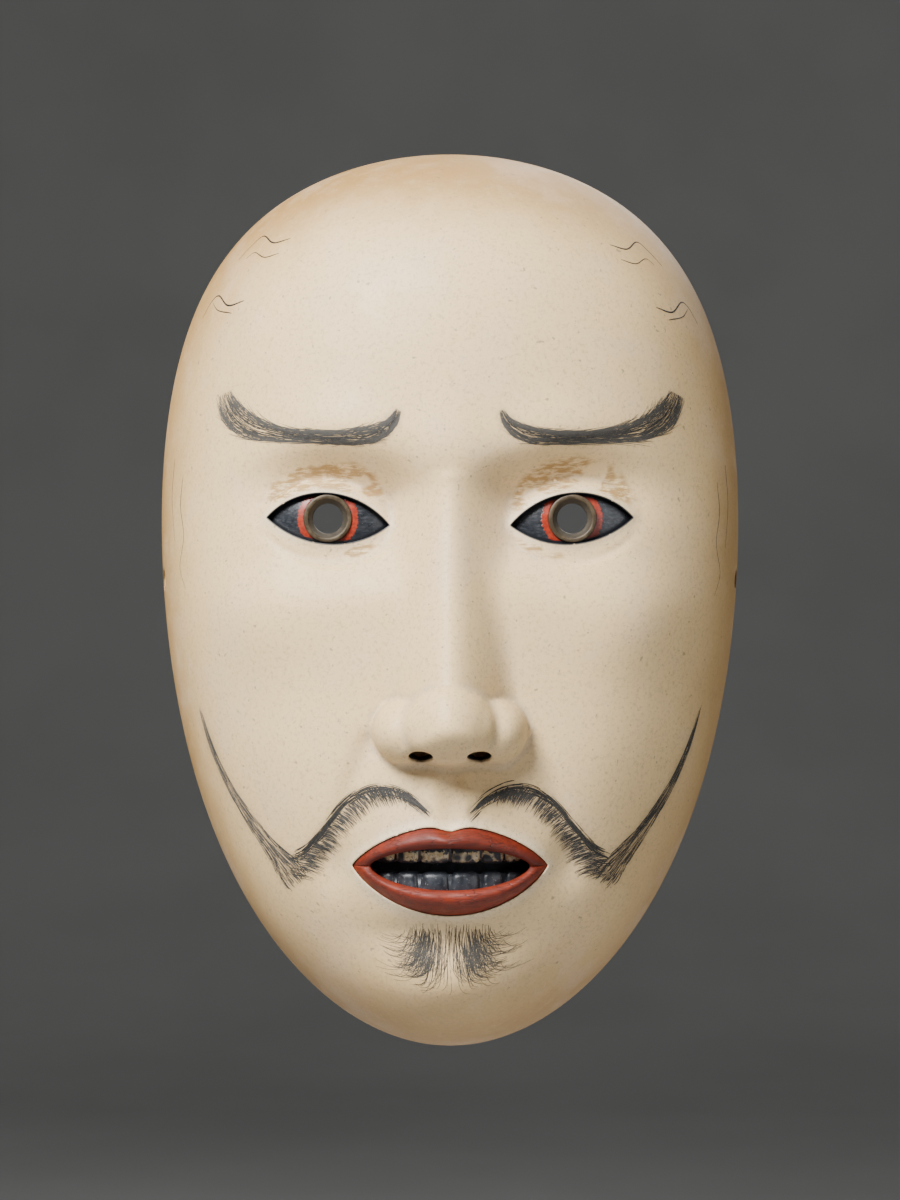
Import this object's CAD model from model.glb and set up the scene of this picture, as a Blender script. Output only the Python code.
import math

import bpy
import numpy as np
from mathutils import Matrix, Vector, geometry, kdtree


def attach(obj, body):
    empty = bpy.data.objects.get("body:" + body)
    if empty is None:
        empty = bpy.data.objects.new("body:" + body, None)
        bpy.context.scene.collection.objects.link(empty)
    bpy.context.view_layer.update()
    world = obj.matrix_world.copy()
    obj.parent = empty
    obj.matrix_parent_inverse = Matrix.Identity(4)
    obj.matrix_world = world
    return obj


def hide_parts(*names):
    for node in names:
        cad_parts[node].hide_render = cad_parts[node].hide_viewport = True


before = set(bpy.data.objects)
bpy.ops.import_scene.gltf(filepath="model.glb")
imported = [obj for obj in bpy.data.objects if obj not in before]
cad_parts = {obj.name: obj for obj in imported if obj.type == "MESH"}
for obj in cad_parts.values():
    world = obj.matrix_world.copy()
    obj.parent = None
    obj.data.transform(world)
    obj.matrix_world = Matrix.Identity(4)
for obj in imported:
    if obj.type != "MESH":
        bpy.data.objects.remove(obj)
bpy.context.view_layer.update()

# Millimetres, as the CAD model has them. Build.finish turns them into metres.
# +Z is up, the face looks along -Y, and "forward" is the distance in front of the rim's plane.
MM = 0.001

# The dome that the face is carved from, and its layers
HALF_HEIGHT = 105.0
HALF_WIDTH = 67.5
DOME_DEPTH = 56.0
COAT = 0.8
RIM_WIDTH = 7.5
HOLLOW_DEPTH = 48.0
LACQUER = 0.5

# The canon: thirds from the hairline to the chin, and five eyes to a face's width
THIRD = 70.0
CHIN_Z = -HALF_HEIGHT
NOSE_BASE_Z = CHIN_Z + THIRD
BROW_Z = CHIN_Z + 2 * THIRD
EYE_Z = CHIN_Z + 3.5 * THIRD / 2
MOUTH_Z = NOSE_BASE_Z - THIRD / 3
EYE_WIDTH = 2 * HALF_WIDTH / 5
EYE_X = EYE_WIDTH
NOSE_TIP_Z = NOSE_BASE_Z + 7.0

# Eyes
UPPER_LID = 6.2
LOWER_LID = 4.9
INNER_CORNER_DROP = 1.0
OUTER_CORNER_RISE = 0.8
LID_THICKNESS = 1.5
IRIS_Z = EYE_Z + 0.5
IRIS_R = 5.3
IRIS_BEVEL_R = 4.3
IRIS_PROUD = 0.7
IRIS_SEAT = 2.0
SIGHT_R = 3.3
FLARE_R = 8.0
SIGHT_STEPS = 64

# Mouth
LIP_HALF_WIDTH = 21.5
LIP_TOP = 9.4
LIP_BOTTOM = 11.0
BOW_DIP = 1.3
OPENING_HALF_WIDTH = 17.5
OPENING_TOP = 4.4
OPENING_BOTTOM = 5.0
SLIT = 1.8
SLIT_DROP = 0.4
TOOTH_ARCH_R = 34.0
TOOTH_THICKNESS = 4.0
TOOTH_RECESS = 4.0
TOOTH_WIDTHS = (7.0, 5.6, 5.4, 4.2)
TOOTH_GAP = 0.35
TOOTH_HIDDEN = 1.6
# half width, rise, drop and roundness of the mouth opening's exit into the hollow
MOUTH_EXIT = (18.0, 6.5, 6.5, 0.5)

# Nostrils and cord holes
NOSTRIL = (6.3, NOSE_BASE_Z + 1.2)
NOSTRIL_RADII = (2.7, 1.4)
NOSTRIL_EXIT = (6.6, NOSE_BASE_Z + 10.5)
NOSTRIL_EXIT_RADII = (2.2, 3.0)
NOSTRIL_STEPS = 40
CORD_HOLE_R = 2.25
CORD_HOLE_FORWARD = 9.0
CORD_HOLE_Z = 5.0

# Scoops of the gouge: spacing across and along, and depth
SCOOP_PITCH_U = 6.2
SCOOP_PITCH_V = 17.0
SCOOP_DEPTH = 0.42

SIDES = (1, -1)

# Flat map of the dome: half axes in millimetres along the surface
MAP_U = HALF_WIDTH * math.pi / 2
MAP_V = HALF_HEIGHT * math.pi / 2

# Broad forms: side distance, height, side spread, upward spread, downward spread, forward push
BROAD_FORMS = {
    "forehead": (0.0, 66.0, 40.0, 24.0, 26.0, 1.5),
    "glabella": (0.0, BROW_Z - 2.0, 9.0, 10.0, 9.0, 1.6),
    "temple": (60.0, 48.0, 12.0, 24.0, 24.0, -2.2),
    "eye socket": (EYE_X, EYE_Z + 4.5, 17.0, 10.0, 9.5, -7.8),
    "under eye": (EYE_X - 1.0, EYE_Z - 8.0, 14.0, 5.0, 6.0, -2.2),
    "inner corner": (12.0, EYE_Z + 1.0, 6.0, 9.0, 10.0, -3.2),
    "cheekbone": (42.0, EYE_Z - 21.0, 15.0, 12.0, 14.0, 4.4),
    "cheek": (33.0, -36.0, 15.0, 18.0, 20.0, 2.6),
    "muzzle": (0.0, MOUTH_Z + 3.0, 24.0, 15.0, 17.0, 5.0),
    "mouth corner": (25.5, MOUTH_Z, 4.5, 6.0, 6.0, -2.0),
    "lip groove": (0.0, MOUTH_Z - 15.5, 15.0, 4.0, 4.5, -2.4),
    "chin": (0.0, -88.0, 18.0, 9.0, 15.0, 6.5),
    "jaw": (37.0, -68.0, 13.0, 16.0, 16.0, 1.6),
}
BROW_RIDGE = (27.0, BROW_Z + 1.0, 18.0, 8.0, 5.5, 2.5)
BROW_ARCH = 0.011
HOLLOW_FORMS = {
    "nose hollow": (0.0, NOSE_TIP_Z + 6.0, 10.0, 20.0, 18.0, 11.0),
    "behind the eyes": (20.0, EYE_Z + 2.0, 17.0, 14.0, 14.0, -6.0),
    "mouth hollow": (0.0, MOUTH_Z + 1.0, 20.0, 14.0, 14.0, 1.0),
    "chin hollow": (0.0, -84.0, 16.0, 9.0, 9.0, 4.0),
}

# Half axes of the eyeball under the lids, how far forward it reaches and how it turns outwards
EYEBALL = (17.0, 13.0, 9.0)
EYEBALL_PEAK = 49.3
EYEBALL_TURN = 0.12


def smoothstep(low, high, value):
    t = np.clip((value - low) / (high - low), 0.0, 1.0)
    return t * t * (3 - 2 * t)


def blend_over(a, b, width):
    """The larger of a and b, with the crease between them rounded over width."""
    near = np.maximum(width - np.abs(a - b), 0.0) / width
    return np.maximum(a, b) + near * near * width / 4


def blend_under(a, b, width):
    return -blend_over(-a, -b, width)


def ellipsoid(x, z, centre, radii, centre_forward, radius_forward):
    """The front of an ellipsoid, which falls away fast outside its outline."""
    share = ((x - centre[0]) / radii[0]) ** 2 + ((z - centre[1]) / radii[1]) ** 2
    front = np.sqrt(np.clip(1 - share, 0.0, None)) - np.clip(share - 1, 0.0, None) * 3
    return centre_forward + radius_forward * front


def gauss(x, z, side, height, spread_x, spread_up, spread_down):
    """A smooth bump of height 1, which may fall off differently upwards and downwards."""
    spread_z = np.where(z > height, spread_up, spread_down)
    return np.exp(-(((x - side) / spread_x) ** 2) - ((z - height) / spread_z) ** 2)


def push(forms, x, z):
    """How far the forms push the surface forward. Each form is mirrored."""
    total = np.zeros_like(x)
    for where_x, where_z, spread_x, up, down, forward in forms.values():
        total += forward * gauss(x, z, where_x, where_z, spread_x, up, down)
        if where_x > 0:
            total += forward * gauss(-x, z, where_x, where_z, spread_x, up, down)
    return total


def width_share(s):
    """How wide the dome is at s, from -1 at the chin to 1 at the top."""
    return 1 + 0.12 * s + 0.16 * s * s + 0.10 * s**3


def depth_share(s):
    """How deep the dome is at s."""
    return 1 + 0.03 * s + 0.45 * s * s


def rim_fade(facing):
    """1 over the face and 0 at the rim, so that no form bends the rim's plane."""
    return smoothstep(0.0, 0.35, facing)


def arc_height(side, rise):
    """The height of an arc from one eye corner to the other, which rises by rise at its middle."""
    half = EYE_WIDTH / 2
    share = np.clip((side - EYE_X) / half, -1, 1)
    chord = -INNER_CORNER_DROP + (INNER_CORNER_DROP + OUTER_CORNER_RISE) * (share + 1) / 2
    height = abs(rise) - 0.1 * math.copysign(1.0, rise)
    radius = (half**2 + height**2) / (2 * height)
    bow = np.sqrt(radius**2 - (share * half) ** 2) - (radius - height)
    return EYE_Z + chord + math.copysign(1.0, rise) * bow


def lid_top(side):
    return arc_height(side, UPPER_LID)


def lid_bottom(side):
    return arc_height(side, -LOWER_LID)


def lid_surface(x, z):
    """The skin of the lids over the eyeball."""
    side = np.abs(x)
    ball = ellipsoid(side, z, (EYE_X, EYE_Z), EYEBALL[:2], EYEBALL_PEAK - EYEBALL[2], EYEBALL[2])
    return ball - EYEBALL_TURN * (side - EYE_X)


def eye_floor(x, z):
    """The eye white, set back behind the lids."""
    return lid_surface(x, z) - LID_THICKNESS


def nose_surface(x, z):
    """Bridge, tip and wings, joined as one form."""
    root_z = EYE_Z + 9.5
    side = np.abs(x)
    share = np.clip((root_z - z) / (root_z - NOSE_TIP_Z), 0.0, 1.25)
    ridge = 56.6 + 15.0 * share**1.15 - 0.8 * np.clip(z - root_z, 0.0, None)
    roundness = 3.0 + 2.4 * share
    slope = 1.2 + 0.75 * share**3
    bridge = ridge - slope * (np.sqrt(x * x + roundness**2) - roundness)
    underside = 57.5 + 2.3 * (z - NOSE_BASE_Z)
    bridge = blend_under(bridge, underside, 5.0)
    tip = ellipsoid(x, z, (0.0, NOSE_TIP_Z + 1.0), (9.4, 8.4), 62.6, 9.6)
    wing = ellipsoid(side, z, (10.2, NOSE_TIP_Z - 0.6), (6.8, 7.0), 54.5, 10.6)
    return blend_over(blend_over(bridge, tip, 9.0), wing, 8.0)


def face_forward(x, z):
    """How far forward the painted face is at a point seen from the front."""
    x = np.asarray(x, dtype=float)
    z = np.asarray(z, dtype=float)
    side = np.abs(x)
    dome, facing = FACE.dome(x, z)
    face = dome + push(BROAD_FORMS, x, z)
    ridge_x, ridge_z, spread_x, up, down, forward = BROW_RIDGE
    arch = ridge_z - BROW_ARCH * (side - ridge_x) ** 2
    face += forward * gauss(side, z - arch, ridge_x, 0.0, spread_x, up, down)
    # the eye region is turned to face forward
    face += 0.36 * (side - EYE_X) * gauss(side, z, EYE_X, EYE_Z, 15.0, 10.0, 10.0)
    face = blend_over(face, lid_surface(x, z), 1.6)
    near_eye = smoothstep(EYE_WIDTH / 2 + 5.0, EYE_WIDTH / 2 - 5.0, np.abs(side - EYE_X))
    face -= 0.7 * near_eye * np.exp(-(((z - lid_top(side) - 3.4) / 0.9) ** 2))
    face -= 0.35 * near_eye * np.exp(-(((z - lid_bottom(side) + 4.2) / 1.1) ** 2))
    # soft fold from the nose's wing to beside the mouth
    down = np.clip((NOSE_TIP_Z - z) / 34.0, 0.0, 1.0)
    fold = smoothstep(-0.02, 0.1, (NOSE_TIP_Z - z) / 34.0) * smoothstep(1.0, 0.5, down)
    face -= 1.0 * fold * np.exp(-(((side - 16.0 - 12.5 * down**0.85) / 2.8) ** 2))
    face = blend_over(face, nose_surface(x, z), 3.0)
    philtrum = smoothstep(NOSE_BASE_Z, NOSE_BASE_Z - 6.0, z)
    philtrum = philtrum * smoothstep(MOUTH_Z + 6.0, MOUTH_Z + 11.0, z)
    ridges = 0.3 * np.exp(-(((side - 3.6) / 1.8) ** 2))
    face += philtrum * (ridges - 0.7 * np.exp(-((x / 2.6) ** 2)))
    # raised edges along the lids and the lips' border
    face += 0.3 * near_line(x, z, ALL_EYES, 0.9) + 0.35 * near_line(x, z, [LIP_OUTLINE], 1.1)
    return dome + (face - dome) * rim_fade(facing)


def hollow_forward(x, z):
    """How far forward the bottom of the hollow is at a point seen from the front."""
    dome, facing = HOLLOW.dome(x, z)
    return dome + push(HOLLOW_FORMS, np.asarray(x, dtype=float), z) * rim_fade(facing)


class Dome:
    """A dome seen from the front, with a flat map that doesn't squeeze its steep sides."""

    def __init__(self, half_width, half_height, depth):
        self.half_width = half_width
        self.half_height = half_height
        self.depth = depth

    def dome(self, x, z):
        """(forward depth, how squarely the dome faces forward)"""
        s = np.clip(z / self.half_height, -1, 1)
        t = x / (self.half_width * width_share(s))
        facing = np.sqrt(np.clip(1 - s * s - t * t, 0.0, 1.0))
        return self.depth * depth_share(s) * facing, facing

    def from_map(self, flat):
        """(x, z) seen from the front of points on the flat map."""
        u, v = flat[:, 0] / MAP_U, flat[:, 1] / MAP_V
        share = np.clip(np.hypot(u, v), 1e-9, 1.0)
        stretch = np.sin(share * math.pi / 2) / share
        s = v * stretch
        return self.half_width * width_share(s) * u * stretch, self.half_height * s

    def to_map(self, x, z):
        s = z / self.half_height
        t = x / (self.half_width * width_share(s))
        return self.unit_to_map(t, s)

    def side_to_map(self, forward, z, sign):
        """The map's point on the side wall at a forward depth and a height."""
        s = z / self.half_height
        facing = forward / (self.depth * depth_share(s))
        return self.unit_to_map(sign * np.sqrt(1 - s * s - facing * facing), s)

    def unit_to_map(self, t, s):
        reach = np.clip(np.hypot(s, t), 1e-9, 1.0)
        stretch = np.arcsin(reach) / (math.pi / 2) / reach
        return np.column_stack([t * stretch * MAP_U, s * stretch * MAP_V])


FACE = Dome(HALF_WIDTH, HALF_HEIGHT, DOME_DEPTH)
HOLLOW = Dome(HALF_WIDTH - RIM_WIDTH, HALF_HEIGHT - RIM_WIDTH, HOLLOW_DEPTH)


def ring_turns(steps):
    return np.linspace(0, 2 * math.pi, steps, endpoint=False)


def grown(loop, distance):
    """The closed anticlockwise loop moved outwards along its own normals."""
    along = np.roll(loop, -1, axis=0) - np.roll(loop, 1, axis=0)
    along /= np.linalg.norm(along, axis=1)[:, None]
    return loop + np.column_stack([along[:, 1], -along[:, 0]]) * distance


def on_side(loop, sign):
    """The loop on the right (1) or mirrored to the left (-1), still anticlockwise."""
    return loop if sign > 0 else (loop * (-1, 1))[::-1]


def both_sides(loop):
    """The loop on the right, then the loop mirrored to the left."""
    return [on_side(loop, sign) for sign in SIDES]


def eye_outline(steps=120):
    turn = ring_turns(steps)
    side = EYE_X + EYE_WIDTH / 2 * np.cos(turn)
    return np.column_stack([side, np.where(np.sin(turn) >= 0, lid_top(side), lid_bottom(side))])


def mouth_outline(half_width, top, bottom, power, steps=160):
    """A pointed oval round the mouth line. A lower power makes it fuller towards its corners."""
    turn = ring_turns(steps)
    rise = np.sin(turn)
    bow = (1 - np.clip(np.cos(turn) ** 2, 0, 1)) ** power
    height = MOUTH_Z + np.where(rise >= 0, top, -bottom) * bow
    return np.column_stack([half_width * np.cos(turn), height])


def bow_dip(x):
    """The dip in the middle of the upper lip's border."""
    return BOW_DIP * np.exp(-((x / 2.8) ** 2))


def lip_outline(steps=160):
    loop = mouth_outline(LIP_HALF_WIDTH, LIP_TOP, LIP_BOTTOM, 0.8, steps)
    loop[:, 1] -= np.where(loop[:, 1] > MOUTH_Z, bow_dip(loop[:, 0]), 0)
    return loop


def opening_outline(steps=160):
    return mouth_outline(OPENING_HALF_WIDTH, OPENING_TOP, OPENING_BOTTOM, 0.6, steps)


def circle(centre, radii, steps):
    turn = ring_turns(steps)
    x = centre[0] + radii[0] * np.cos(turn)
    z = centre[1] + radii[1] * np.sin(turn)
    return np.column_stack([x, z])


def iris_circle(radius, steps):
    """A circle round the middle of the right iris."""
    return circle((EYE_X, IRIS_Z), (radius, radius), steps)


def cord_hole_map(dome, radius, sign, steps=48):
    """The cord hole's loop on a dome's side wall, on the flat map."""
    turn = ring_turns(steps)
    loop = dome.side_to_map(
        CORD_HOLE_FORWARD - radius * np.cos(turn), CORD_HOLE_Z + radius * np.sin(turn), sign
    )
    return loop if sign > 0 else loop[::-1]


LIP_OUTLINE = lip_outline()
EYE_OUTLINE = eye_outline()
ALL_EYES = both_sides(EYE_OUTLINE)


def nearest(points, loop):
    """The distance from each point to the nearest point of the loop."""
    tree = kdtree.KDTree(len(loop))
    for i, (a, b) in enumerate(loop):
        tree.insert((a, b, 0), i)
    tree.balance()
    return np.array([tree.find((a, b, 0))[2] for a, b in points])


def near_line(x, z, loops, width):
    """1 on the loops, falling to 0 within about two widths."""
    points = np.column_stack([np.ravel(x), np.ravel(z)])
    total = np.zeros(len(points))
    for loop in loops:
        low, high = loop.min(axis=0) - 3 * width, loop.max(axis=0) + 3 * width
        close = np.all((points > low) & (points < high), axis=1)
        if close.any():
            total[close] += np.exp(-((nearest(points[close], loop) / width) ** 2))
    return total.reshape(np.shape(x))


def hex_grid(spacing):
    """Points of a triangular grid over the whole flat map."""
    rows = np.arange(-MAP_V, MAP_V, spacing * math.sqrt(3) / 2)
    columns = np.arange(-MAP_U, MAP_U, spacing)
    u, v = np.meshgrid(columns, rows)
    u = u + (np.arange(len(rows)) % 2)[:, None] * spacing / 2
    grid = np.column_stack([u.ravel(), v.ravel()])
    share = grid / (MAP_U - spacing, MAP_V - spacing)
    return grid[share[:, 0] ** 2 + share[:, 1] ** 2 < 1]


def inside(points, loop):
    """Which points lie inside the closed loop."""
    found = np.zeros(len(points), dtype=bool)
    low, high = loop.min(axis=0), loop.max(axis=0)
    close = np.flatnonzero(np.all((points >= low) & (points <= high), axis=1))
    px, py = points[close, 0][:, None], points[close, 1][:, None]
    ax, ay = loop[:, 0], loop[:, 1]
    bx, by = np.roll(ax, -1), np.roll(ay, -1)
    crosses = (ay > py) != (by > py)
    with np.errstate(divide="ignore", invalid="ignore"):
        at = ax + (py - ay) * (bx - ax) / (by - ay)
    found[close] = (np.sum(crosses & (px < at), axis=1) % 2) == 1
    return found


def cut_sheet(border, holes, scattered, clearance):
    """Triangles between the border and the holes: (points, triangles, the loops' point numbers)."""
    for hole in holes:
        scattered = scattered[(nearest(scattered, hole) > clearance) & ~inside(scattered, hole)]
    loops = [border, *holes]
    points = [tuple(p) for loop in loops for p in loop] + [tuple(p) for p in scattered]
    starts = np.cumsum([0] + [len(loop) for loop in loops])
    edges = []
    for start, loop in zip(starts, loops):
        edges += [(int(start + i), int(start + (i + 1) % len(loop))) for i in range(len(loop))]
    made = geometry.delaunay_2d_cdt([Vector(p) for p in points], edges, [], 0, 1e-5)
    flat = np.array([(p.x, p.y) for p in made[0]])
    triangles = np.array(made[2])
    number = {old: new for new, olds in enumerate(made[3]) for old in olds}
    rings = []
    for start, loop in zip(starts, loops):
        rings.append(np.array([number[start + i] for i in range(len(loop))]))
    middles = flat[triangles].mean(axis=1)
    keep = inside(middles, border)
    for hole in holes:
        keep &= ~inside(middles, hole)
    return flat, triangles[keep], rings


class Build:
    """Points, faces and named values per point of one piece."""

    def __init__(self):
        self.points = []
        self.faces = []
        self.values = {}
        self.count = 0

    def add(self, points, **values):
        numbers = np.arange(self.count, self.count + len(points))
        self.points.append(np.asarray(points, dtype=float))
        self.count += len(points)
        for name, value in values.items():
            self.values.setdefault(name, []).append((numbers, value))
        return numbers

    def triangles(self, numbers, triangles, flip=False):
        chosen = numbers[triangles]
        self.faces += [tuple(t) for t in (chosen[:, ::-1] if flip else chosen).tolist()]

    def band(self, ring_a, ring_b):
        """Quads between two rings of equal length."""
        next_a, next_b = np.roll(ring_a, -1), np.roll(ring_b, -1)
        self.faces += [tuple(q) for q in np.column_stack([ring_a, ring_b, next_b, next_a]).tolist()]

    def tube(self, rows):
        """Quads between rows of point numbers, closed from the last row to the first, and both end caps."""
        grid = np.array(rows)
        closed = np.concatenate([grid, grid[:1]])
        a, b = closed[:-1, :-1], closed[:-1, 1:]
        c, d = closed[1:, 1:], closed[1:, :-1]
        self.faces += [tuple(q) for q in np.stack([a, b, c, d], axis=-1).reshape(-1, 4).tolist()]
        self.faces.append(tuple(grid[:, 0].tolist()))
        self.faces.append(tuple(grid[::-1, -1].tolist()))

    def finish(self, name, material, slot, replaced=()):
        mesh = bpy.data.meshes.new(name)
        points = np.concatenate(self.points) * MM
        mesh.from_pydata(points.tolist(), [], self.faces)
        mesh.validate()
        mesh.polygons.foreach_set("use_smooth", [True] * len(mesh.polygons))
        for value_name, parts in self.values.items():
            values = np.zeros(len(points))
            for numbers, value in parts:
                values[numbers] = value
            mesh.attributes.new(value_name, "FLOAT", "POINT").data.foreach_set("value", values)
        mesh.materials.append(material)
        piece = bpy.data.objects.new(name, mesh)
        bpy.context.scene.collection.objects.link(piece)
        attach(piece, "root")
        if replaced:
            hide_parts(*replaced)
        return piece


def normals_of(points, triangles):
    """Unit normals at the points of a triangle mesh."""
    a, b, c = (points[triangles[:, k]] for k in range(3))
    faces = np.cross(b - a, c - a)
    total = np.zeros_like(points)
    for k in range(3):
        np.add.at(total, triangles[:, k], faces)
    return total / np.maximum(np.linalg.norm(total, axis=1), 1e-12)[:, None]


def face_points(flat):
    x, z = FACE.from_map(flat)
    return np.column_stack([x, -face_forward(x, z), z])


def hollow_points(flat):
    x, z = HOLLOW.from_map(flat)
    return np.column_stack([x, -hollow_forward(x, z), z])


def rim_border(steps=420, share=1.0):
    turn = ring_turns(steps)
    return np.column_stack([MAP_U * share * np.cos(turn), MAP_V * share * np.sin(turn)])


def to_map(dome, loop):
    return dome.to_map(loop[:, 0], loop[:, 1])


def wavy(turns, seed, waves=9, power=1.0):
    """A smooth closed random wave of about -1 to 1."""
    chance = np.random.default_rng(seed)
    total = np.zeros_like(turns)
    for k in range(2, 2 + waves):
        total += chance.normal() / k**power * np.sin(k * turns + chance.uniform(0, 2 * math.pi))
    return total / np.abs(total).max()


def detailed_grid(dome):
    """Finer points round the eyes, the nose and the mouth."""
    coarse, middle, fine = hex_grid(1.7), hex_grid(1.0), hex_grid(0.6)

    def feature(points, grow):
        x, z = dome.from_map(points)
        side = np.abs(x)
        eye = ((side - EYE_X) / (19 + grow)) ** 2 + ((z - EYE_Z) / (12 + grow)) ** 2 < 1
        nose = (side < 18 + grow) & (z < NOSE_TIP_Z + 8 + grow) & (z > NOSE_BASE_Z - 4 - grow)
        mouth = (x / (26 + grow)) ** 2 + ((z - MOUTH_Z) / (14 + grow)) ** 2 < 1
        return eye | nose | mouth

    def front(points):
        x, z = dome.from_map(points)
        return (np.abs(x) < 62) & (z > -98) & (z < BROW_Z + 16)

    in_front = front(middle) & ~feature(middle, 0)
    far = ~front(coarse) & ~feature(coarse, 0)
    return np.vstack([coarse[far], middle[in_front], fine[feature(fine, 0)]])


def mapped(dome, loops):
    """Loops seen from the front, followed by both cord holes, on a dome's flat map."""
    cord_holes = [cord_hole_map(dome, CORD_HOLE_R, sign) for sign in SIDES]
    return [to_map(dome, loop) for loop in loops] + cord_holes


def coat_openings(eye_grow, lip_grow, nostril_grow):
    """Eyes, lips, nostrils and cord holes of the coat."""
    loops = [grown(eye, eye_grow) for eye in ALL_EYES]
    loops.append(grown(LIP_OUTLINE, lip_grow))
    radii = [r + nostril_grow for r in NOSTRIL_RADII]
    return mapped(FACE, loops + both_sides(circle(NOSTRIL, radii, NOSTRIL_STEPS)))


def block_openings():
    """Seats of the iris rings, mouth, nostrils and cord holes in the block's outer face."""
    loops = both_sides(iris_circle(IRIS_R, SIGHT_STEPS))
    loops.append(grown(opening_outline(), 1.2))
    radii = [r + 0.5 for r in NOSTRIL_RADII]
    return mapped(FACE, loops + both_sides(circle(NOSTRIL, radii, NOSTRIL_STEPS)))


def hollow_openings():
    """The same openings where they come out in the hollow."""
    loops = both_sides(iris_circle(FLARE_R, SIGHT_STEPS))
    loops.append(mouth_outline(*MOUTH_EXIT))
    return mapped(HOLLOW, loops + both_sides(circle(NOSTRIL_EXIT, NOSTRIL_EXIT_RADII, NOSTRIL_STEPS)))


def make_face_coat(material):
    """The painted ground: the face, its returns into the openings and its lap round the rim."""
    build = Build()
    edge_r = 1.0
    share = 1 - 2 / math.pi * math.asin(edge_r / DOME_DEPTH)
    border = rim_border(share=share)
    # rows of points beside the lids and the lips, so that the painted lines there are clean
    beside = [grown(eye, distance) for eye in ALL_EYES for distance in (0.3, 0.65, 1.05)]
    beside += [grown(LIP_OUTLINE, distance) for distance in (0.4, 0.9, 1.5)]
    rows = np.vstack([to_map(FACE, loop) for loop in beside])
    grid = detailed_grid(FACE)
    grid = np.vstack([grid[nearest(grid, rows) > 0.4], rows])
    flat, triangles, rings = cut_sheet(border, coat_openings(0, 0, 0), grid, 0.24)
    front = face_points(flat)
    x, z = front[:, 0], front[:, 2]
    numbers = build.add(front, **skin_values(x, z, -front[:, 1]))
    build.triangles(numbers, triangles)

    back_holes = coat_openings(0.8, 0.4, 0.6)
    back_flat, back_triangles, back_rings = cut_sheet(border, back_holes, hex_grid(2.4), 1.0)
    back = face_points(back_flat)
    back -= normals_of(back, back_triangles) * COAT
    back_numbers = build.add(back)
    build.triangles(back_numbers, back_triangles, flip=True)

    # round the rim and a little way over its back
    rim = front[rings[0]]
    outward = grown(rim[:, (0, 2)], 1.0) - rim[:, (0, 2)]
    turns = ring_turns(len(rim))
    lap = 3.0 + 0.9 * wavy(turns, 5, waves=26, power=0.4)
    edge_y = rim[:, 1]
    last = numbers[rings[0]]
    rows = []
    for angle in np.radians((20, 40, 60, 78, 90)):
        rows.append((edge_r * (1 - math.cos(angle)), edge_y * (1 - math.sin(angle)), 0.6))
    for part in (0.35, 0.7, 1.0):
        rows.append((edge_r + (lap - edge_r) * part, -0.02 * part, 0.75))
    rows.append((lap + 0.05, -0.3, 0.9))
    rows.append((COAT + 0.3, -0.45, 0.9))
    for inset, y, tone in rows:
        ring = np.column_stack([rim[:, 0], np.zeros(len(rim)), rim[:, 2]])
        ring[:, (0, 2)] -= outward * np.reshape(inset, (-1, 1))
        ring[:, 1] = y
        row = build.add(ring, tone=tone)
        build.band(last, row)
        last = row
    build.band(last, back_numbers[back_rings[0]])

    # returns into the eyes, the lips, the nostrils and the cord holes
    for k, (ring, back_ring) in enumerate(zip(rings[1:], back_rings[1:])):
        edge = front[ring]
        deep = edge.copy()
        is_eye, is_nostril = k < 2, k in (3, 4)
        if is_eye:
            deep[:, 1] = -eye_floor(edge[:, 0], edge[:, 2]) + 0.15
        elif is_nostril:
            deep += (0.0, 3.2, 1.3)
        else:
            deep[:, 1] += 0.5
        half_way = (edge + deep) / 2
        wall = {"line": 1.0} if is_eye or is_nostril else {"tone": 0.5}
        row_a = build.add(half_way, **wall)
        row_b = build.add(deep, **wall)
        build.band(row_a, numbers[ring])
        build.band(row_b, row_a)
        build.band(back_numbers[back_ring], row_b)
    return build.finish("face_coat", material, "shell_white_ground", ["face_coat"])


def skin_values(x, z, forward):
    """Where the paint is toned, shaded, washed with ink, worn or lined."""
    side = np.abs(x)
    _, facing = FACE.dome(x, z)
    step = 1.6
    neighbours = ((step, 0), (-step, 0), (0, step), (0, -step))
    around = [face_forward(x + dx, z + dz) for dx, dz in neighbours]
    hollowness = np.clip((sum(around) / 4 - forward) / step, -0.2, 0.4)
    tone = 0.95 * smoothstep(0.80, 0.05, facing)
    tone += 0.40 * smoothstep(70.0, 100.0, z) + 0.35 * smoothstep(-72.0, -104.0, z)
    shade = np.clip(hollowness * 3.0, 0, 1) * smoothstep(0.25, 0.5, facing)
    shade += 0.35 * gauss(side, z, EYE_X - 8, EYE_Z + 8, 15.0, 7.0, 9.0)
    shade += 0.30 * gauss(side, z, 0.0, NOSE_BASE_Z - 4.0, 13.0, 6.0, 5.0)
    shade += 0.25 * gauss(side, z, 0.0, -79.0, 20.0, 6.0, 6.0)
    lid = z - lid_top(side)
    beside = smoothstep(EYE_WIDTH / 2 + 2, EYE_WIDTH / 2 - 4, np.abs(side - EYE_X))
    over_lid = np.exp(-(((lid - 4.4) / 3.3) ** 2)) * beside
    under = lid_bottom(side) - z
    inner_half = gauss(side, z, EYE_X - 7, EYE_Z - 7, 7.0, 6.0, 6.0)
    under_lid = 0.75 * np.exp(-(((under - 2.4) / 1.2) ** 2)) * inner_half
    line = near_line(x, z, ALL_EYES, 0.42) * 0.9
    pale = near_line(x, z, ALL_EYES, 1.5) + near_line(x, z, [LIP_OUTLINE], 1.8)
    return {
        "tone": tone,
        "shade": np.clip(shade, 0, 1),
        "worn": np.clip(over_lid + under_lid, 0, 1),
        "line": line,
        "pale": np.clip(pale, 0, 1),
        "wash": ink_wash(x, z),
    }


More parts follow.
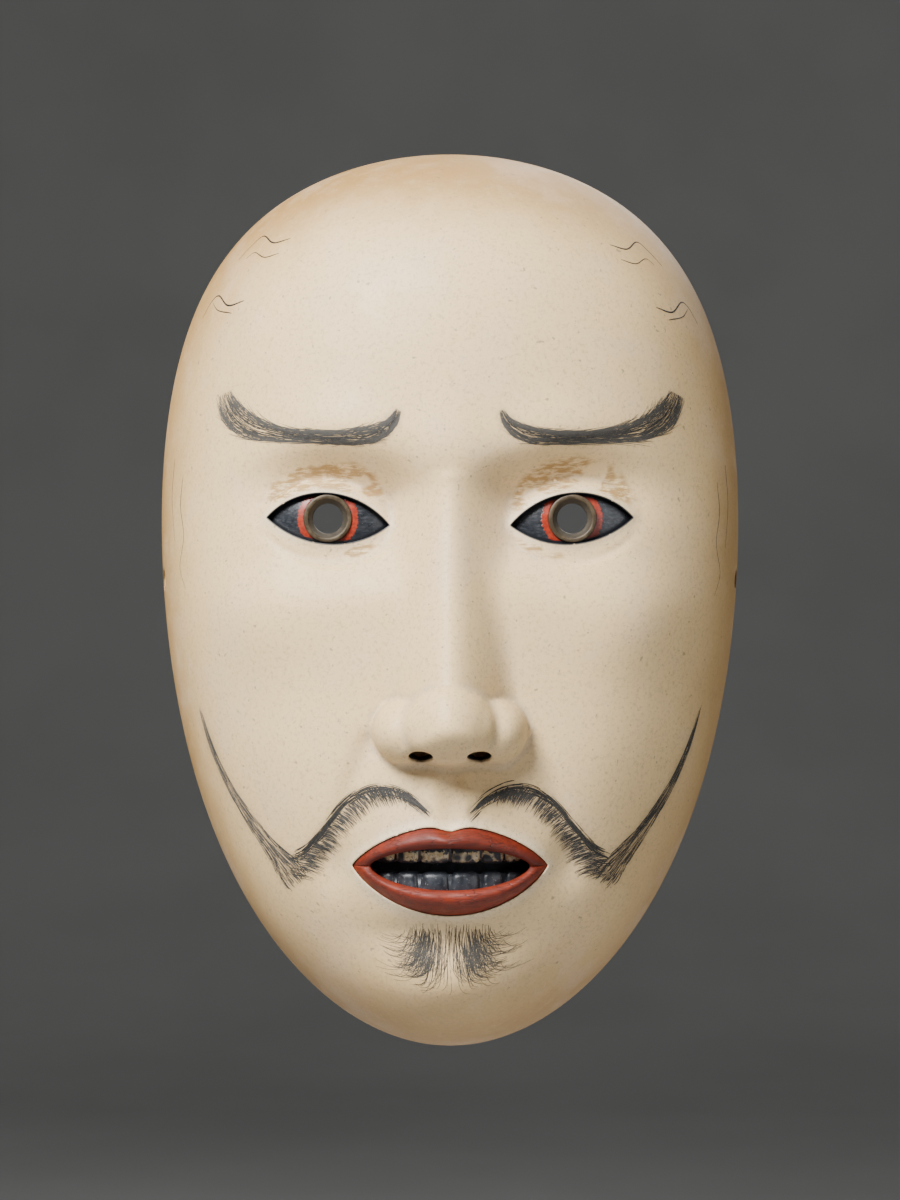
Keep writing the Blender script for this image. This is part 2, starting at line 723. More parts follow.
def make_carved_shell(material):
    """The cypress block: its outer face under the coat, its hollow, rim and bored holes."""
    build = Build()
    border = rim_border()
    flat, triangles, rings = cut_sheet(border, block_openings(), hex_grid(2.2), 1.0)
    outer = face_points(flat)
    thin = 0.7 * gauss(outer[:, 0], outer[:, 2], 0.0, NOSE_TIP_Z, 20.0, 14.0, 12.0)
    outer -= normals_of(outer, triangles) * (COAT + 0.05 + thin[:, None])
    for eye in ALL_EYES:
        behind = inside(outer[:, (0, 2)], grown(eye, 3.2))
        limit = -eye_floor(outer[behind, 0], outer[behind, 2]) + COAT + 0.15
        outer[behind, 1] = np.maximum(outer[behind, 1], limit)
    numbers = build.add(outer)
    build.triangles(numbers, triangles)
    inner_flat, inner_triangles, inner_rings = cut_sheet(border, hollow_openings(), hex_grid(2.2), 1.0)
    inner = hollow_points(inner_flat)
    inner[inner_rings[0], 1] -= 1.2
    inner_numbers = build.add(inner)
    build.triangles(inner_numbers, inner_triangles, flip=True)

    # the rim's face, with a rounded inner edge
    turns = ring_turns(len(border))
    rim_out, rim_in = outer[rings[0]], inner[inner_rings[0]]
    outer[rings[0], 1] = -0.6
    last = numbers[rings[0]]
    rim_steps = ((0.02, -0.35), (0.3, -0.3), (0.5, -0.3), (0.7, -0.3), (0.86, -0.35), (0.95, -0.65))
    for part, y in rim_steps:
        ring = rim_out * (1 - part) + rim_in * part
        ring[:, 1] = y + 0.10 * wavy(turns, int(part * 100), waves=60, power=0.1)
        row = build.add(ring)
        build.band(last, row)
        last = row
    build.band(last, inner_numbers[inner_rings[0]])

    for k, (ring, inner_ring) in enumerate(zip(rings[1:], inner_rings[1:])):
        last = numbers[ring]
        if k < 2:
            seat_forward = eye_floor(EYE_X, IRIS_Z) - IRIS_SEAT
            for radius in (IRIS_R, SIGHT_R + 0.4):
                loop = on_side(iris_circle(radius, SIGHT_STEPS), SIDES[k])
                depth = np.full(len(loop), -seat_forward)
                row = build.add(np.column_stack([loop[:, 0], depth, loop[:, 1]]))
                build.band(row, last)
                last = row
        build.band(inner_numbers[inner_ring], last)
    return build.finish("carved_shell", material, "cypress_wood", ["carved_shell"])


def gouge_marks(flat):
    """Depth of the gouge's scoops over the hollow: each is a long shallow bowl, with ridges between."""
    chance = np.random.default_rng(11)
    columns = int(2 * MAP_U / SCOOP_PITCH_U) + 2
    rows = int(2 * MAP_V / SCOOP_PITCH_V) + 2
    best = np.full(len(flat), 9.0)
    scoops = []
    for i in range(columns):
        for j in range(rows):
            u = -MAP_U + (i + chance.uniform(-0.3, 0.3)) * SCOOP_PITCH_U
            v = -MAP_V + (j + 0.5 * (i % 2) + chance.uniform(-0.3, 0.3)) * SCOOP_PITCH_V
            scoops.append((u, v, chance.uniform(-0.25, 0.25), chance.uniform(0.85, 1.2)))
    centres = np.array(scoops)
    for start in range(0, len(flat), 4000):
        chunk = flat[start:start + 4000]
        du = chunk[:, 0][:, None] - centres[:, 0]
        dv = chunk[:, 1][:, None] - centres[:, 1]
        lean = du + centres[:, 2] * dv
        reach = (lean / (SCOOP_PITCH_U * 0.62)) ** 2 + (dv / (SCOOP_PITCH_V * 0.62)) ** 2
        best[start:start + 4000] = (reach * centres[:, 3]).min(axis=1)
    return SCOOP_DEPTH * (1 - np.clip(best, 0, 1.6))


def make_back_lacquer(material):
    """The lacquered hollow with its gouge scoops, and its lap on to the rim."""
    build = Build()
    border = rim_border()
    loops = hollow_openings()
    flat, triangles, rings = cut_sheet(border, loops, hex_grid(1.15), 0.7)
    wood = hollow_points(flat)
    inward = -normals_of(wood, triangles)
    to_rim = (1 - np.hypot(flat[:, 0] / MAP_U, flat[:, 1] / MAP_V)) * MAP_U
    calm = smoothstep(0.0, 6.0, to_rim)
    depth = gouge_marks(flat) * calm
    front = wood + inward * (LACQUER + 0.15 - depth)[:, None]
    numbers = build.add(front, scoop=depth / SCOOP_DEPTH)
    build.triangles(numbers, triangles, flip=True)
    back_flat, back_triangles, back_rings = cut_sheet(border, loops, hex_grid(2.4), 1.0)
    back = hollow_points(back_flat)
    back_numbers = build.add(back)
    build.triangles(back_numbers, back_triangles)
    # over the hollow's edge on to the rim
    rim = front[rings[0]]
    outward = grown(rim[:, (0, 2)], 1.0) - rim[:, (0, 2)]
    front[rings[0], 1] = -1.4
    lap = 1.7 + 0.5 * wavy(ring_turns(len(rim)), 3, waves=30, power=0.3)
    last = numbers[rings[0]]
    lap_steps = (
        (0.25, -0.7),
        (0.6, -0.28),
        (0.5 + lap * 0.5, -0.16),
        (lap + 0.5, -0.16),
        (lap + 0.55, -0.34),
        (0.7, -0.5),
    )
    for out, y in lap_steps:
        ring = rim.copy()
        ring[:, (0, 2)] += outward * np.reshape(out, (-1, 1))
        ring[:, 1] = y
        row = build.add(ring)
        build.band(row, last)
        last = row
    build.band(back_numbers[back_rings[0]], last)
    for ring, back_ring in zip(rings[1:], back_rings[1:]):
        build.band(numbers[ring], back_numbers[back_ring])
    return build.finish("back_lacquer", material, "brown_lacquer", ["back_lacquer"])


def make_eye_white(side_name, sign, material):
    """The lacquered eye behind the lids, with a round gap for its ring."""
    build = Build()
    border = on_side(grown(EYE_OUTLINE, 0.9), sign)
    gap_loop = on_side(iris_circle(IRIS_R - 0.35, 72), sign)
    grid = hex_grid(0.55)
    grid = grid[inside(grid, border)]
    grid = grid[nearest(grid, border) > 0.4]
    flat, triangles, rings = cut_sheet(border, [gap_loop], grid, 0.35)
    x, z = flat[:, 0], flat[:, 1]
    forward = eye_floor(x, z)
    lid = np.exp(-((nearest(flat, on_side(EYE_OUTLINE, sign)) / 0.75) ** 2))
    numbers = build.add(np.column_stack([x, -forward, z]), lid=lid)
    back_numbers = build.add(np.column_stack([x, -forward + COAT, z]))
    build.triangles(numbers, triangles)
    build.triangles(back_numbers, triangles, flip=True)
    build.band(numbers[rings[0]], back_numbers[rings[0]])
    build.band(back_numbers[rings[1]], numbers[rings[1]])
    name = "eye_white_" + side_name
    return build.finish(name, material, "black_lacquer", [name])


def make_iris_ring(side_name, sign, material):
    """A turned ring: a rounded outer band, a hollow bevel and the sight hole."""
    build = Build()
    seat = float(eye_floor(np.array(EYE_X), np.array(IRIS_Z)))
    profile = [(SIGHT_R, -IRIS_SEAT)]
    profile += [(SIGHT_R + 0.02 * k, -1.3 + 0.15 * k) for k in range(4)]
    for s in np.linspace(0.15, 0.95, 6):
        profile.append((SIGHT_R + (IRIS_BEVEL_R - SIGHT_R) * s, -0.75 + 1.22 * s**1.3))
    middle = (IRIS_BEVEL_R + IRIS_R) / 2
    half = (IRIS_R - IRIS_BEVEL_R) / 2
    shoulder = 0.48
    for angle in np.radians(np.linspace(165, 0, 12)):
        ahead = shoulder + (IRIS_PROUD - shoulder) * math.sin(angle)
        profile.append((middle + half * math.cos(angle), ahead))
    profile.append((IRIS_R, -IRIS_SEAT))
    steps = 96
    turn = ring_turns(steps)
    rows = []
    for radius, ahead in profile:
        wobble = radius * (1 + 0.004 * np.sin(2 * turn + 1.0))
        x = sign * EYE_X + wobble * np.cos(turn)
        ring = np.column_stack([x, np.full(steps, -(seat + ahead)), IRIS_Z + wobble * np.sin(turn)])
        rows.append(build.add(ring, bevel=1.0 if radius < IRIS_BEVEL_R else 0.0))
    for a, b in zip(rows, rows[1:] + rows[:1]):
        build.band(b, a)
    name = "iris_ring_" + side_name
    return build.finish(name, material, "iris_metal", [name])


def make_lip(name, upper, material):
    """A lip: it swells from its border, rolls into the mouth and runs back to the teeth."""
    build = Build()
    count = 121
    angle = np.linspace(math.pi, 0, count) if upper else np.linspace(math.pi, 2 * math.pi, count)
    taper = np.clip(np.abs(np.sin(angle)), 0, 1) ** 0.7
    outer_x = LIP_HALF_WIDTH * np.cos(angle)
    inner_x = OPENING_HALF_WIDTH * np.cos(angle)
    span, gap = (LIP_TOP, OPENING_TOP) if upper else (-LIP_BOTTOM, -OPENING_BOTTOM)
    bow = np.clip(1 - np.cos(angle) ** 2, 0, 1)
    outer_z = MOUTH_Z + span * bow**0.8
    if upper:
        outer_z = outer_z - bow_dip(outer_x)
    inner_z = MOUTH_Z + gap * bow**0.6
    swell = 1.9 if upper else 2.9
    if upper:
        middle = 0.5 * np.exp(-((outer_x / 4.5) ** 2))
    else:
        middle = -0.35 * np.exp(-((outer_x / 3.0) ** 2))
    height = 0.35 + (swell + middle) * taper
    rows = []
    crest = 0.62
    for q in np.linspace(0, 1, 13):
        x = outer_x + (inner_x - outer_x) * q
        z = outer_z + (inner_z - outer_z) * q
        if q < crest:
            roll = math.sin(math.pi / 2 * q / crest)
        else:
            roll = math.cos(math.pi / 2 * (q - crest) / (1 - crest) * 0.8)
        forward = skin_under_lips(x, z) - 0.25 + height * roll
        rows.append(build.add(np.column_stack([x, -forward, z]), across=q))
    edge = build.points[-1]
    away = 1.0 if upper else -1.0
    for back, spread in ((1.5, 0.1), (3.2, 0.35), (5.5, 0.7)):
        ring = edge + np.column_stack([np.zeros(count), np.full(count, back), away * spread * taper])
        rows.append(build.add(ring, across=1.0))
    behind = away * (0.7 + 1.5 * taper)
    ring = edge + np.column_stack([np.zeros(count), np.full(count, 5.5), behind])
    rows.append(build.add(ring))
    under = -skin_under_lips(outer_x, outer_z) + 1.6
    rows.append(build.add(np.column_stack([outer_x, under, outer_z])))
    build.tube(rows[::-1] if upper else rows)
    return build.finish(name, material, "vermilion", [name])


def skin_under_lips(x, z):
    """The muzzle's surface without the lips' raised border."""
    dome, _ = FACE.dome(x, z)
    return dome + push(BROAD_FORMS, x, z)


def on_arch(arc, radius, front, z):
    """Points at angles round the dental arch, all at one height."""
    y = TOOTH_ARCH_R - front - radius * np.cos(arc)
    return np.column_stack([radius * np.sin(arc), y, np.full(len(arc), z)])


def tooth(build, centre_arc, width, low, high, front, seed):
    """One tooth on the arch: a rounded block with a slightly bowed face."""
    chance = np.random.default_rng(seed)
    rows = 15
    steps = 28
    power = 0.42
    middle_z, half_z = (low + high) / 2, (high - low) / 2
    turn = ring_turns(steps)
    lean = chance.uniform(-0.03, 0.03)
    grid = []
    for tilt in np.linspace(-math.pi / 2, math.pi / 2, rows):
        c = abs(math.cos(tilt)) ** power
        s = math.copysign(abs(math.sin(tilt)) ** power, tilt)
        across = np.sign(np.cos(turn)) * np.abs(np.cos(turn)) ** power * c
        depth = np.sign(np.sin(turn)) * np.abs(np.sin(turn)) ** power * c
        arc = (centre_arc + across * width / 2 * (1 - 0.05 * s) + lean * s * half_z) / TOOTH_ARCH_R
        ahead = (depth - 1) * TOOTH_THICKNESS / 2 - 0.35 * across**2 - 0.25 * s * s
        radius = TOOTH_ARCH_R + ahead
        grid.append(build.add(on_arch(arc, radius, front, middle_z + half_z * s), up=s))
    for a, b in zip(grid, grid[1:]):
        build.band(b, a)


def make_teeth(name, upper, material):
    """A row of eight teeth on the arch, and the bar behind them."""
    build = Build()
    front = float(face_forward(np.array([0.0]), np.array([MOUTH_Z]))[0]) - TOOTH_RECESS
    if upper:
        low, high = MOUTH_Z + SLIT / 2 - SLIT_DROP, MOUTH_Z + OPENING_TOP + TOOTH_HIDDEN
    else:
        low, high = MOUTH_Z - OPENING_BOTTOM - TOOTH_HIDDEN, MOUTH_Z - SLIT / 2 - SLIT_DROP
    edge = 0.0
    for k, width in enumerate(TOOTH_WIDTHS):
        for sign in SIDES:
            seed = 40 + 10 * k + sign + 3 * upper
            tooth(build, sign * (edge + width / 2), width - TOOTH_GAP, low, high, front, seed)
        edge += width
    # the bar that they are carved from, hidden at its top and ends
    arcs = np.linspace(-edge - 1.0, edge + 1.0, 41) / TOOTH_ARCH_R
    rows = []
    inset = 0.55
    bar_low, bar_high = (low + inset, high + 1.4) if upper else (low - 1.4, high - inset)
    back = -TOOTH_THICKNESS - 0.4
    outline = [(-1.0, bar_low), (-1.0, bar_high), (back, bar_high), (back, bar_low)]
    if not upper:
        # a step behind the upper row, so that the slit between the rows is dark
        foot, step, step_top = back - 0.8, back - 2.0, MOUTH_Z + 1.8
        outline[2:] = [(foot, bar_high), (foot, step_top), (step, step_top), (step, bar_low)]
    for ahead, z in outline:
        rows.append(build.add(on_arch(arcs, TOOTH_ARCH_R + ahead, front, z), up=1.0))
    build.tube(rows[::-1])
    return build.finish(name, material, "black_lacquer", [name])


def curve_through(knots, steps=200):
    """A smooth curve through the knots (x, z, half thickness), evenly spaced by knot number."""
    knots = np.array(knots, dtype=float)
    padded = np.vstack([2 * knots[0] - knots[1], knots, 2 * knots[-1] - knots[-2]])
    place = np.linspace(0, len(knots) - 1, steps)
    i = np.minimum(place.astype(int), len(knots) - 2)
    t = (place - i)[:, None]
    a, b, c, d = (padded[i + k] for k in range(4))
    square, cube = 2 * a - 5 * b + 4 * c - d, 3 * b - a - 3 * c + d
    return 0.5 * (2 * b + (c - a) * t + square * t**2 + cube * t**3)


class Band:
    """A painted band of hair: a middle line with a thickness, and hairs placed along and across it."""

    def __init__(self, knots):
        self.line = curve_through(knots)
        along = np.gradient(self.line[:, :2], axis=0)
        along /= np.linalg.norm(along, axis=1)[:, None]
        self.across = np.column_stack([-along[:, 1], along[:, 0]])

    def at(self, share, offset):
        """Points at shares of the band's length and offsets of its half thickness."""
        place = np.clip(share, 0, 1) * (len(self.line) - 1)
        index = np.minimum(place.astype(int), len(self.line) - 2)
        t = (place - index)[..., None]
        line = self.line[index] * (1 - t) + self.line[index + 1] * t
        across = self.across[index] * (1 - t) + self.across[index + 1] * t
        return line[..., :2] + across * line[..., 2:3] * np.asarray(offset)[..., None]


def bend(start, middle, end, steps=8):
    """Curved strokes from start to end, pulled towards middle: (strokes, steps, 2)."""
    t = np.linspace(0, 1, steps)[None, :, None]
    ends = (1 - t) ** 2 * start[:, None] + t**2 * end[:, None]
    return ends + 2 * t * (1 - t) * middle[:, None]


def eyebrow_hairs(seed):
    """A nearly level band that sags a little, with feathered ends turned up."""
    chance = np.random.default_rng(seed)
    z = BROW_Z + 1.0
    band = Band([
        (11.2, z + 5.4, 0.5), (12.6, z + 2.4, 1.3), (16.5, z + 0.2, 2.0),
        (23.0, z - 0.6, 1.6), (31.0, z - 0.2, 1.4), (39.0, z + 0.8, 1.9),
        (45.0, z + 2.6, 2.9), (49.2, z + 6.0, 2.9), (51.0, z + 10.5, 1.5),
    ])
    count = 700
    share = 0.06 + 0.88 * chance.beta(0.8, 0.7, count)
    reach = chance.uniform(0.05, 0.10, count)
    offset = chance.uniform(-1, 1, count)
    offset = np.sign(offset) * np.abs(offset) ** 0.8
    outward = np.where(share > chance.normal(0.35, 0.1, count), 1, -1)
    starts = band.at(share - outward * reach, offset * 0.95)
    middles = band.at(share, offset + chance.normal(0, 0.08, count))
    ends = band.at(share + outward * reach, offset * 1.05 + chance.normal(0.08, 0.26, count))
    paths = bend(starts, middles, ends)
    edge = np.clip(1 - np.abs(offset), 0, 1)
    widths = chance.uniform(0.10, 0.19, count)
    return paths, widths, np.clip(0.20 + 0.8 * edge * chance.uniform(0.4, 1, count), 0, 1)


# The moustache's upper edge as (x, height over the mouth), and the knot that its tail grows from
MOUSTACHE_TOP = [
    (4.2, 11.8), (7.5, 14.8), (12.0, 17.2), (17.5, 17.4),
    (23.0, 14.0), (28.0, 8.0), (32.0, 3.6), (36.2, 1.2),
]
MOUSTACHE_KNOT = (34.8, MOUTH_Z - 4.6)


def moustache_hairs(seed):
    """Hairs combed inwards from a dark upper edge, and a thin tail up to the cheek."""
    chance = np.random.default_rng(seed)
    top = Band([(x, MOUTH_Z + height, 0) for x, height in MOUSTACHE_TOP])
    count = 520
    share = chance.uniform(0, 1, count) ** 0.9
    depth = chance.uniform(0, 1, count) ** 1.3
    thickness = np.interp(share, (0, 0.12, 0.4, 0.7, 0.9, 1.0), (0.5, 2.2, 4.8, 4.8, 5.2, 6.2))
    roots = top.at(share, np.zeros(count))
    down = np.interp(share, (0, 0.35, 0.6, 0.8, 1.0), (50, 62, 40, 22, 8))
    slope = np.radians(down + chance.normal(0, 5, count))
    inward = np.column_stack([-np.cos(slope), -np.sin(slope)])
    # the outer hairs start lower and lower down the node's outer edge
    drop = np.interp(share, (0, 0.75, 1), (0, 0.4, 1.0)) * chance.uniform(0, 1, count)
    edge = np.column_stack([roots[:, 0] - 1.2 * drop, roots[:, 1] - 5.6 * drop])
    starts = edge + inward * (depth * thickness * 0.4 - 0.5)[:, None]
    length = thickness * chance.uniform(0.45, 1.05, count) * (1 - 0.35 * depth)
    ends = starts + inward * length[:, None]
    sag = np.column_stack([-np.sin(slope), np.cos(slope)]) * (length * 0.10)[:, None]
    paths = [bend(starts, (starts + ends) / 2 + sag, ends)]
    widths = [chance.uniform(0.14, 0.24, count)]
    darks = [np.clip(0.35 + 0.65 * (1 - depth) * chance.uniform(0.5, 1, count), 0, 1)]
    # long strokes along the dark upper edge
    count = 200
    share = chance.uniform(0.04, 0.93, count)
    reach = chance.uniform(0.04, 0.07, count)
    offset = chance.normal(-0.5, 0.6, count)
    shift = np.column_stack([np.zeros(count), offset])
    starts, ends = (top.at(share + k * reach, np.zeros(count)) + shift for k in (1, -1))
    middles = top.at(share, np.zeros(count)) + shift
    paths.append(bend(starts, 2 * middles - (starts + ends) / 2, ends))
    widths.append(chance.uniform(0.15, 0.26, count))
    darks.append(chance.uniform(0.55, 1.0, count))
    # tail
    count = 300
    x, z = MOUSTACHE_KNOT
    tail = Band([
        (x - 1.5, z - 0.2, 3.1), (x + 1.0, z + 2.6, 3.2), (x + 4.5, z + 6.6, 2.2),
        (x + 9.5, z + 12.5, 1.4), (x + 15.0, z + 20.5, 0.9), (x + 19.5, z + 29.5, 0.55),
        (x + 22.6, z + 39.0, 0.25),
    ])
    share = 0.045 + 0.88 * chance.uniform(0, 1, count) ** 1.1
    reach = chance.uniform(0.05, 0.09, count)
    offset = chance.uniform(-1, 1, count)
    starts = tail.at(share - reach * chance.uniform(0.4, 1, count), offset)
    ends = tail.at(share + reach, offset * 0.9)
    paths.append(bend(starts, 2 * tail.at(share, offset) - (starts + ends) / 2, ends))
    widths.append(chance.uniform(0.14, 0.26, count))
    darks.append(chance.uniform(0.5, 1.0, count) * np.interp(share, (0, 0.5, 1), (1, 0.9, 0.7)))
    return np.concatenate(paths), np.concatenate(widths), np.concatenate(darks)


def chin_tuft_hairs(seed):
    """Two lobes of fine hair, upright at the top and curled outwards below."""
    chance = np.random.default_rng(seed)
    paths, widths, darks = [], [], []
    top = MOUTH_Z - LIP_BOTTOM - 3.2
    for sign in SIDES:
        count = 260
        root_x = np.abs(chance.normal(5.3, 2.3, count))
        root_z = top - 7.5 * chance.uniform(0, 1, count) ** 1.2
        curl = 0.8 + 0.45 * root_x + chance.normal(0, 0.9, count)
        fall = 6.8 - 0.30 * root_x + chance.normal(0, 1.1, count)
        starts = np.column_stack([root_x, root_z])
        middles = starts + np.column_stack([0.12 * root_x + chance.normal(-0.5, 0.5, count), -fall])
        drop = -fall + 0.30 * root_x + chance.normal(-0.4, 0.5, count)
        ends = starts + np.column_stack([curl, drop])
        paths.append(bend(starts, middles, ends) * (sign, 1))
        widths.append(chance.uniform(0.09, 0.16, count))
        darks.append(chance.uniform(0.10, 0.65, count))
    count = 40
    starts = np.column_stack([chance.uniform(-9, 9, count), top + chance.uniform(0, 1.6, count)])
    ends = starts + np.column_stack([chance.normal(0, 0.25, count), -chance.uniform(2.5, 4.5, count)])
    paths.append(bend(starts, (starts + ends) / 2, ends))
    widths.append(np.full(count, 0.11))
    darks.append(chance.uniform(0.1, 0.4, count))
    return np.concatenate(paths), np.concatenate(widths), np.concatenate(darks)


def stray_hairs():
    """Thin wavy strands at the temples and beside the eyes."""
    strands = []
    for sign, lift in ((1, 0.0), (-1, 1.6)):
        strands += [
            ([(36, 80), (40, 79.4), (42.5, 81.6), (45, 80.0), (48.5, 76.5)], sign, lift, 0.42),
            ([(38.5, 76.6), (42, 76.0), (44.5, 77.6), (46.5, 76.4)], sign, lift, 0.30),
            ([(46.5, 66.0), (50.5, 65.4), (53.0, 68.2), (55.0, 67.0), (57.2, 63.5)], sign, lift, 0.46),
            ([(49.5, 63.4), (53.0, 64.6), (54.6, 66.8)], sign, lift, 0.30),
            ([(61.2, 27), (61.8, 20), (60.9, 13), (61.9, 6), (60.4, 1)], sign, lift, 0.26),
            ([(63.6, 31), (64.2, 22), (63.4, 12)], sign, lift, 0.22),
        ]
    paths = []
    for knots, sign, lift, _ in strands:
        line = curve_through([(x, z + lift, 0) for x, z in knots], 40)[:, :2]
        paths.append(line * (sign, 1))
    widths = np.array([strand[3] for strand in strands])
    return np.array(paths), widths, np.full(len(strands), 0.85)


INK = {}
for ink_side, ink_sign, ink_seed in (("right", 1, 21), ("left", -1, 22)):
    for ink_name, hairs in (("eyebrow", eyebrow_hairs), ("moustache", moustache_hairs)):
        ink_paths, ink_widths, ink_darks = hairs(ink_seed)
        INK[f"{ink_name}_ink_{ink_side}"] = (ink_paths * (ink_sign, 1), ink_widths, ink_darks)
INK["chin_tuft_ink"] = chin_tuft_hairs(23)
INK["stray_hair_ink"] = stray_hairs()


def make_ink(name, material):
    """The strokes of one painted area, each a thin raised ribbon that tapers to its tip."""
    paths, widths, darks = INK[name]
    count, steps = paths.shape[:2]
    x, z = paths[..., 0], paths[..., 1]
    step = 0.25
    spot = np.stack([x, -face_forward(x, z), z], axis=-1)
    slope_x = (face_forward(x + step, z) - face_forward(x - step, z)) / (2 * step)
    slope_z = (face_forward(x, z + step) - face_forward(x, z - step)) / (2 * step)
    normal = np.stack([-slope_x, -np.ones_like(x), -slope_z], axis=-1)
    normal /= np.linalg.norm(normal, axis=-1)[..., None]
    along = np.gradient(spot, axis=1)
    across = np.cross(normal, along)
    across /= np.maximum(np.linalg.norm(across, axis=-1), 1e-9)[..., None]
    t = np.linspace(0, 1, steps)
    taper = np.minimum(1, 0.35 + 4 * t) * (1 - t) ** 0.55 + 0.06
    half = (widths[:, None] * taper / 2)[..., None]
    crown, edge, root = 0.045, 0.01, 0.12
    side = across * half
    corners = [spot - side, spot + normal * crown, spot + side, spot - normal * root]
    ring = np.stack(corners, axis=2)
    ring[:, :, 0] += normal * edge
    ring[:, :, 2] += normal * edge
    build = Build()
    numbers = build.add(ring.reshape(-1, 3), dark=np.repeat(darks, steps * 4))
    numbers = numbers.reshape(count, steps, 4)
    a, b = numbers[:, :-1], numbers[:, 1:]
    sides = np.stack([a, np.roll(a, -1, axis=2), np.roll(b, -1, axis=2), b], axis=-1)
    build.faces += [tuple(q) for q in sides.reshape(-1, 4).tolist()]
    for caps in (numbers[:, 0, ::-1], numbers[:, -1]):
        build.faces += [tuple(q) for q in caps.tolist()]
    return build.finish(name, material, "ink")


WASH_CELL = 0.5
WASH_HALF_WIDTH = HALF_WIDTH * 1.1


def wash_map():
    """How densely the ink covers the face, blurred, on a grid of cells seen from the front."""
    size_x, size_z = int(2 * WASH_HALF_WIDTH / WASH_CELL), int(2 * HALF_HEIGHT / WASH_CELL)
    cells = np.zeros((size_x, size_z))
    for name, (paths, widths, darks) in INK.items():
        if name == "stray_hair_ink":
            continue
        i = ((paths[..., 0] + WASH_HALF_WIDTH) / WASH_CELL).astype(int).clip(0, size_x - 1)
        j = ((paths[..., 1] + HALF_HEIGHT) / WASH_CELL).astype(int).clip(0, size_z - 1)
        strength = np.repeat(darks * widths, paths.shape[1]).reshape(i.shape)
        np.add.at(cells, (i, j), strength)
    kernel = np.exp(-((np.arange(-4, 5) / 1.7) ** 2))
    kernel /= kernel.sum()
    for axis in (0, 1):
        cells = np.apply_along_axis(np.convolve, axis, cells, kernel, mode="same")
    return np.clip(cells * 1.6, 0, 1)


WASH = wash_map()


def ink_wash(x, z):
    """The wash map's value at places seen from the front."""
    i = (np.asarray(x) + WASH_HALF_WIDTH) / WASH_CELL - 0.5
    j = (np.asarray(z) + HALF_HEIGHT) / WASH_CELL - 0.5
    i0 = i.astype(int).clip(0, WASH.shape[0] - 2)
    j0 = j.astype(int).clip(0, WASH.shape[1] - 2)
    fi, fj = (i - i0).clip(0, 1), (j - j0).clip(0, 1)
    low = WASH[i0, j0] * (1 - fi) + WASH[i0 + 1, j0] * fi
    high = WASH[i0, j0 + 1] * (1 - fi) + WASH[i0 + 1, j0 + 1] * fi
    return low * (1 - fj) + high * fj


